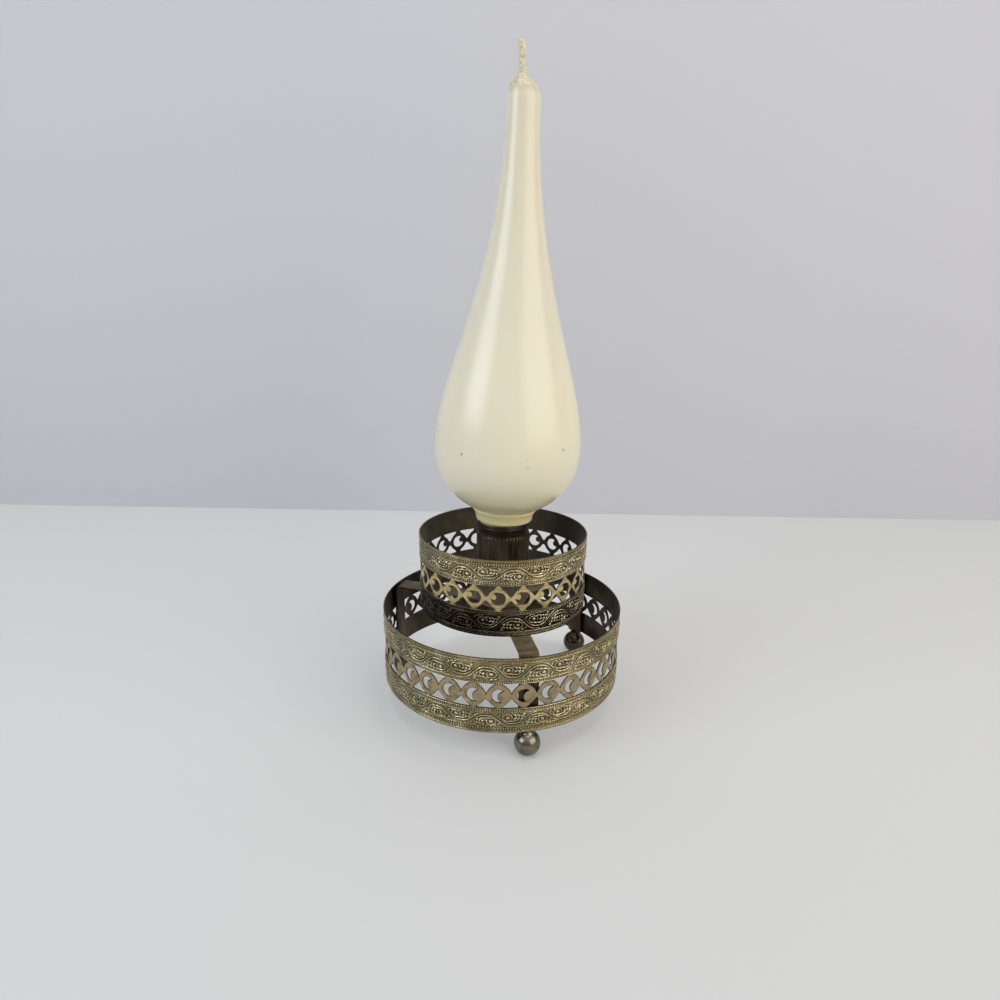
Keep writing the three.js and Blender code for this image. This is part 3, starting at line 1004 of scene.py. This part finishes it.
def legArm(angle, top, outside, legEnd, tongueEnd):
    bendX = outside - legs["bendRadius"]
    deselectAll()
    bpy.ops.mesh.primitive_plane_add(
        size=1, rotation=(0, math.pi / 2, 0), location=(0, 0, (top - legs["thick"] / 2) * mm)
    )
    arm = added("arm")
    arm.scale = (legs["thick"] * mm, legs["width"] * mm, 1)
    settle(arm)
    editing(arm)
    extrude(bendX, 0)
    bendMiddle = (bendX * mm, 0, (top - legs["bendRadius"]) * mm)
    bpy.ops.mesh.spin(steps=10, angle=-math.pi / 2, axis=(0, 1, 0), center=bendMiddle)
    extrude(0, legEnd - top + legs["bendRadius"])
    doneFacingOut()
    # round corners at the leg's end
    editing(arm)
    near = 0.05 * mm
    end = legEnd * mm
    chooseEdges(arm, lambda one, two: (
        abs(one.co.z - end) < near and abs(two.co.z - end) < near and abs(one.co.y - two.co.y) < near
    ))
    bpy.ops.mesh.bevel(offset=legs["cornerRadius"] * mm, segments=6, affect="EDGES")
    done()
    # tongue that goes into the ball
    root = legEnd + legs["tongueRoot"]
    place = (outside - legs["thick"] / 2, 0, (root + tongueEnd) / 2)
    welded(arm, block("tongue", place, (legs["thick"], legs["tongueWidth"], root - tongueEnd)))
    arm.rotation_euler = (0, 0, math.radians(angle))
    return settle(arm)


def legFrame():
    tongueEnd, top = lowAndHigh("leg_frame")
    ballLow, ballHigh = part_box("ball_foot_front")
    ballMiddle = Vector((ballLow.x + ballHigh.x, ballLow.y + ballHigh.y)).length / 2 / mm
    outside = ballMiddle + legs["thick"] / 2
    legEnd = ballHigh.z / mm + legs["overBall"]
    arms = [legArm(angle, top, outside, legEnd, tongueEnd) for angle in legs["angles"].values()]
    hubRadius = radiusOf("candle_socket") - legs["insideSocket"]
    deselectAll()
    bpy.ops.mesh.primitive_cylinder_add(
        vertices=96, radius=hubRadius * mm, depth=legs["thick"] * mm,
        location=(0, 0, (top - legs["thick"] / 2) * mm),
    )
    hub = settle(added("stamped_leg_frame"))
    for arm in arms:
        welded(hub, arm)
    # one flat face on top and one below, the same each time
    editing(hub)
    bpy.ops.mesh.remove_doubles(threshold=0.01 * mm)
    bpy.ops.mesh.dissolve_limited(angle_limit=math.radians(0.5))
    done()
    roundEdges(hub, legs["rounding"], 40)
    dress(hub, "strap", "holder", "leg_frame", "frame_brass")
    smooth(hub, 30)


legFrame()
print("leg frame made")


# Ball feet, with the solder that holds each to its leg

def ballFoot(nodeName):
    low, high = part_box(nodeName)
    radius = (high.x - low.x) / 2 * 1.012
    middle = Vector(((low.x + high.x) / 2, (low.y + high.y) / 2, 0))
    middle.z = high.z - radius
    deselectAll()
    bpy.ops.mesh.primitive_uv_sphere_add(segments=64, ring_count=40, radius=radius, location=middle)
    ball = settle(added("ball"))
    editing(ball)
    bpy.ops.mesh.bisect(plane_co=(0, 0, low.z), plane_no=(0, 0, -1), use_fill=True, clear_outer=True)
    done()
    top = high.z / mm
    profile = [(2.75, top - 0.9), (2.45, top - 0.28), (1.95, top + 0.12), (1.75, top + 0.34)]
    profile += [(0.4, top + 0.4)]
    solder = turnedBody("solder", profile, 32)
    solder.location = (middle.x, middle.y, 0)
    settle(solder)
    foot = joined([ball, solder], "polished_" + nodeName)
    dress(foot, "ball", "holder", nodeName, "foot_brass")
    smooth(foot, 40)


for nodeName in legs["angles"]:
    ballFoot(nodeName)
print("ball feet made")


# Socket: ribbed cup with a plain collar and a bead round it

socket = {
    "ribs": 44,
    "ribDepth": 0.34,
    "ribOut": 0.28,  # from the plain body to the ribs' crests
    "wall": 0.7,
    "collar": 5.0,
    "bead": 2.0,  # below the rim
    "floor": 0.8,
    "hole": 2.0,
}


def candleSocket():
    bottom, rim = lowAndHigh("candle_socket")
    outer = radiusOf("candle_socket")
    body = outer - socket["ribOut"]
    bore = outer - socket["wall"]
    collar = rim - socket["collar"]
    bead = rim - socket["bead"]
    floor = bottom + socket["floor"]
    ribRings = 14
    ribPitch = (collar - bottom - 2.0) / ribRings
    profile = [(socket["hole"], bottom), (body - 0.7, bottom), (body - 0.25, bottom + 0.12)]
    profile += [(body, bottom + 0.6)]
    profile += [(body, bottom + 1.2 + ribPitch * step) for step in range(ribRings + 1)]
    profile += [(body - 0.1, collar - 0.3), (body - 0.12, collar), (body, collar + 0.5)]
    profile += [(body, bead - 0.75)]
    profile += onOval((body, bead), 0.1, 0.5, range(-90, 91, 30))
    profile += [(body, bead + 0.75), (body, rim - 0.15), (body - 0.12, rim), (bore + 0.12, rim)]
    profile += [(bore, rim - 0.15), (bore, floor + 0.3), (bore - 0.3, floor), (socket["hole"], floor)]
    cup = turnedBody("ribbed_socket", profile, socket["ribs"] * 8, ends="bridge")
    for vertex in cup.data.vertices:
        out = Vector((vertex.co.x, vertex.co.y, 0))
        share = out.length / mm
        height = vertex.co.z / mm
        if share > bore + 0.2 and bottom + 1.0 < height < collar - 0.5:
            angle = math.atan2(vertex.co.y, vertex.co.x)
            wave = math.cos(socket["ribs"] * angle)
            place = Vector((18 * math.cos(angle), 18 * math.sin(angle), 0.12 * height))
            uneven = 0.06 * noise.noise(place)
            share += socket["ribOut"] - socket["ribDepth"] * (0.5 - 0.5 * wave) ** 1.6 + uneven
            out = out.normalized() * share * mm
            vertex.co.x, vertex.co.y = out.x, out.y
    dress(cup, "socket", "holder", "candle_socket", "socket_brass")
    smooth(cup, 60)


def socketRivet():
    bottom, top = lowAndHigh("socket_rivet")
    head = radiusOf("socket_rivet")
    shank = 1.7
    chamfer = 0.15
    seat = lowAndHigh("candle_socket")[0] + socket["floor"]
    under = lowAndHigh("leg_frame")[1] - legs["thick"]
    profile = [(0.3, bottom), (head - 0.9, bottom), (head - 0.55, bottom + 0.2)]
    profile += [(head, under - chamfer), (head - 0.1, under), (shank, under)]
    profile += [(shank, seat), (head - 0.1, seat), (head, seat + chamfer)]
    profile += onOval((0, seat + chamfer), head, top - seat - chamfer, range(15, 90, 12))
    rivet = turnedBody("domed_rivet", profile, 48)
    dress(rivet, "strap", "holder", "socket_rivet", "frame_brass")
    smooth(rivet, 40)


candleSocket()
socketRivet()
print("socket and rivet made")


# Candle, drawn upright on its shoulder and then leant about the middle of its plug

candle = {
    "lean": 1.9,
    "plugDepth": 18.0,
    "plugRadius": 10.36,
    "footOver": 0.75,
    "lipOver": 2.35,
    "lipHeight": 4.6,
    "lipThick": 0.4,
    "bulgeRadius": 31.4,
    "bulgeHeight": 32.0,
    "neckRadius": 6.4,
    "neckHeight": 165.0,
    "tipHeight": 8.6,
    "tipDrift": -0.55,  # the neck isn't quite straight
    "driftFrom": 110,
    "wickRadius": 1.42,
    "wickOffset": -0.9,
    "wickFree": 11.8,
    "wickRoot": 3,
    "wickBend": 1.3,
}


def leanCandle(piece):
    low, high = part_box("candle_socket")
    lean = math.radians(candle["lean"])
    plugMiddle = candle["plugDepth"] / 2 * mm
    shoulder = high.z + (high.x - low.x) / 2 * math.sin(lean) + 0.3 * mm
    piece.data.transform(
        Matrix.Translation((0, 0, shoulder - plugMiddle))
        @ Matrix.Rotation(lean, 4, "Y")
        @ Matrix.Translation((0, 0, plugMiddle))
    )


def candleWax():
    outer = radiusOf("candle_socket")
    foot = outer + candle["footOver"]
    lip = outer + candle["lipOver"]
    plug, plugEnd = candle["plugRadius"], -candle["plugDepth"]
    belly, bellyUp = candle["bulgeRadius"], candle["bulgeHeight"]
    neck, neckUp = candle["neckRadius"], candle["neckHeight"] - bellyUp
    tip = candle["neckHeight"] + candle["tipHeight"]
    profile = [(0.5, plugEnd), (plug - 1.0, plugEnd), (plug, plugEnd + 1.0), (plug, -0.6)]
    profile += [(plug + 0.15, -0.1), (plug + 0.6, 0.0), (foot - 0.5, 0.0), (foot - 0.12, 0.14), (foot, 0.5)]
    # thin lip that the mould left round the foot
    profile += [(foot + 0.05, 1.4), (foot + 0.35, 2.6), (foot + 0.85, 3.6), (lip - 0.25, 4.4)]
    profile += [(lip - 0.02, 4.85), (lip + 0.02, 5.05), (lip - 0.08, 5.2), (lip - 0.26, 5.26)]
    # the belly, the long neck and the rounded tip
    x, z = lip - candle["lipThick"], candle["lipHeight"] + 0.7
    lowBelly = z + 0.3 * (bellyUp - candle["lipHeight"])
    profile += bezierPoints([(x, z), (x + 3.6, z + 2.3), (belly, lowBelly), (belly, bellyUp)], 22)
    profile += bezierPoints([
        (belly, bellyUp), (belly, bellyUp + 0.22 * neckUp), (neck, bellyUp + 0.52 * neckUp),
        (neck, candle["neckHeight"]),
    ], 40)
    inwardAndUp = [(0.1, -6.8), (0.35, -5.3), (0.7, -4.2), (1.2, -3.3), (2.0, -2.3), (2.9, -1.4)]
    inwardAndUp += [(3.8, -0.6), (4.35, 0.1), (4.6, 0.7)]
    profile += [(neck - inward, tip + up) for inward, up in inwardAndUp]
    profile.append((0.8, tip + 1.0))
    wax = turnedBody("teardrop_wax", profile, 96)
    # hand-finished unevenness, and the wax drawn up round the wick
    for vertex in wax.data.vertices:
        height = vertex.co.z / mm
        if height > 6:
            place = Vector(vertex.co) / mm
            swell = 0.16 * noise.noise(place * 0.045) + 0.05 * noise.noise(place * 0.16 + Vector((7, 3, 1)))
            if height > tip - 4.4:
                swell += 0.1 * noise.noise(place * 1.1)
            out = Vector((vertex.co.x, vertex.co.y, 0)).normalized()
            vertex.co += out * swell * mm
        vertex.co.x += candle["tipDrift"] * mm * (max(0, height - candle["driftFrom"]) / 60) ** 2
        vertex.co.x += candle["wickOffset"] * mm * min(1, max(0, height - tip + 5.6) / 5.6)
    leanCandle(wax)
    applyModifier(wax, "SUBSURF", levels=1, render_levels=1)
    dress(wax, "wax", "candle", "candle_wax", "wax")
    smooth(wax, 60)


def candleWick():
    # three-ply wick under a skin of wax
    radius = candle["wickRadius"]
    tip = candle["neckHeight"] + candle["tipHeight"]
    start = tip - candle["wickRoot"]
    length = candle["wickFree"] + candle["wickRoot"]
    rings = 34
    dome = 0.9
    profile = [(radius, start + length * step / rings) for step in range(rings)]
    profile += onOval((0, start + length - dome), radius, dome, (20, 45, 65, 80))
    wick = turnedBody("waxed_wick", profile, 30)
    for vertex in wick.data.vertices:
        height = vertex.co.z / mm
        angle = math.atan2(vertex.co.y, vertex.co.x)
        plies = 1 + 0.025 * math.cos(3 * angle + 1.1 * height) + 0.05 * noise.noise(Vector(vertex.co) * 600)
        share = max(0, (height - tip) / candle["wickFree"])
        widen = 1 + 0.2 * max(0, 1 - share * 2) ** 2
        drift = candle["wickOffset"] + candle["tipDrift"] * 1.1 - candle["wickBend"] * share**2
        vertex.co.x = vertex.co.x * plies * widen + drift * mm
        vertex.co.y *= plies * widen
    leanCandle(wick)
    dress(wick, "wick", "candle", "candle_wick", "wick")
    smooth(wick, 60)


candleWax()
candleWick()
print("candle made")


# Floor, backdrop, light and camera

stage = {
    "floor": (0.49, 0.49, 0.487),
    "glow": 0.16,
    # painted light on the floor, lifting the rings' shadow
    "paintedLightUnderRings": 0.28,  # below and behind the rings, where the floor shows through their openwork
    "wall": (0.645, 0.645, 0.68),
    "world": 0.6,
}
view = {
    "place": (0.0, -291.78, 180.77),
    "down": 16.804,
    "turn": -0.301,
    "roll": -0.833,
    "lens": 24.84,
}
# Lamps: place, size, power and colour
lamps = {
    "windowLight": ((-0.68, -0.38, 0.46), (0.5, 0.42), 2.6, (0.84, 0.91, 1.0)),
    "roomLight": ((0.64, -0.46, 0.42), (0.85, 0.6), 3.4, (1.0, 0.94, 0.85)),
    "topLight": ((0.05, 0.05, 0.85), (0.6, 0.6), 1.9, (1.0, 0.99, 0.97)),
}


def stagePlane(name, place, rotation):
    deselectAll()
    bpy.ops.mesh.primitive_plane_add(size=4.0, location=place, rotation=rotation)
    plane = added(name)
    material = newMaterial(name, Base_Color=(*stage[name], 1.0), Roughness=0.7)
    plane.data.materials.append(material)
    settle(plane)
    return material


def lightFloor(material):
    # a pale floor for the camera, in the metal's reflections and through glass, with painted light below
    # and behind the rings
    rays = node(material, "LightPath").outputs
    seen = reckoned(material, "MAXIMUM", rays["Is Camera Ray"], rays["Is Glossy Ray"])
    seen = reckoned(material, "MAXIMUM", seen, rays["Is Transmission Ray"])
    # painted light: a brighter patch of floor below and behind the rings, over their shadow
    away = lengthOf(material, scaledPlace(material, (20, 13.3, 0), (0, -0.6, 0)))
    glow = fitRange(material, away, 0.6, 1.15, stage["paintedLightUnderRings"], stage["glow"])
    shader = shaderOf(material)
    shader.inputs["Emission Color"].default_value = (1.0, 1.0, 0.99, 1.0)
    wire(material, times(material, seen, glow), shader.inputs["Emission Strength"])


def addLamp(name, place, size, power, colour):
    light = bpy.data.lights.new(name, "AREA")
    light.shape = "RECTANGLE"
    light.size, light.size_y = size
    light.energy = power
    light.color = colour
    holder = bpy.data.objects.new(name, light)
    holder.location = place
    aim = Vector((0, 0, 0.1)) - Vector(place)
    holder.rotation_euler = aim.to_track_quat("-Z", "Y").to_euler()
    bpy.context.collection.objects.link(holder)


lightFloor(stagePlane("floor", (0, 0, 0), (0, 0, 0)))
stagePlane("wall", (0, 0.27, 1.0), (math.pi / 2, 0, 0))
for name, lamp in lamps.items():
    addLamp(name, *lamp)

world = bpy.data.worlds.new("softRoom")
bpy.context.scene.world = world
world.use_nodes = True
sky = world.node_tree.nodes["Background"]
parts = node(world, "SeparateXYZ")
wire(world, node(world, "TexCoord").outputs["Generated"], parts.inputs["Vector"])
skyTone = ramp(world, parts.outputs["Z"], [(0.05, (0.3, 0.3, 0.31)), (0.75, (0.95, 0.97, 1.0))])
wire(world, skyTone, sky.inputs["Color"])
sky.inputs["Strength"].default_value = stage["world"]

cameraData = bpy.data.cameras.new("camera")
cameraData.lens = view["lens"]
cameraData.sensor_width = 36.0
cameraData.sensor_fit = "HORIZONTAL"
cameraData.clip_start = 0.01
camera = bpy.data.objects.new("camera", cameraData)
bpy.context.collection.objects.link(camera)
camera.location = Vector(view["place"]) * mm
camera.rotation_euler = (
    Matrix.Rotation(-math.radians(view["turn"]), 3, "Z")
    @ Matrix.Rotation(math.radians(90 - view["down"]), 3, "X")
    @ Matrix.Rotation(-math.radians(view["roll"]), 3, "Z")
).to_euler()
bpy.context.scene.camera = camera
bpy.context.scene.view_settings.view_transform = "Standard"
print("stage, light and camera made")
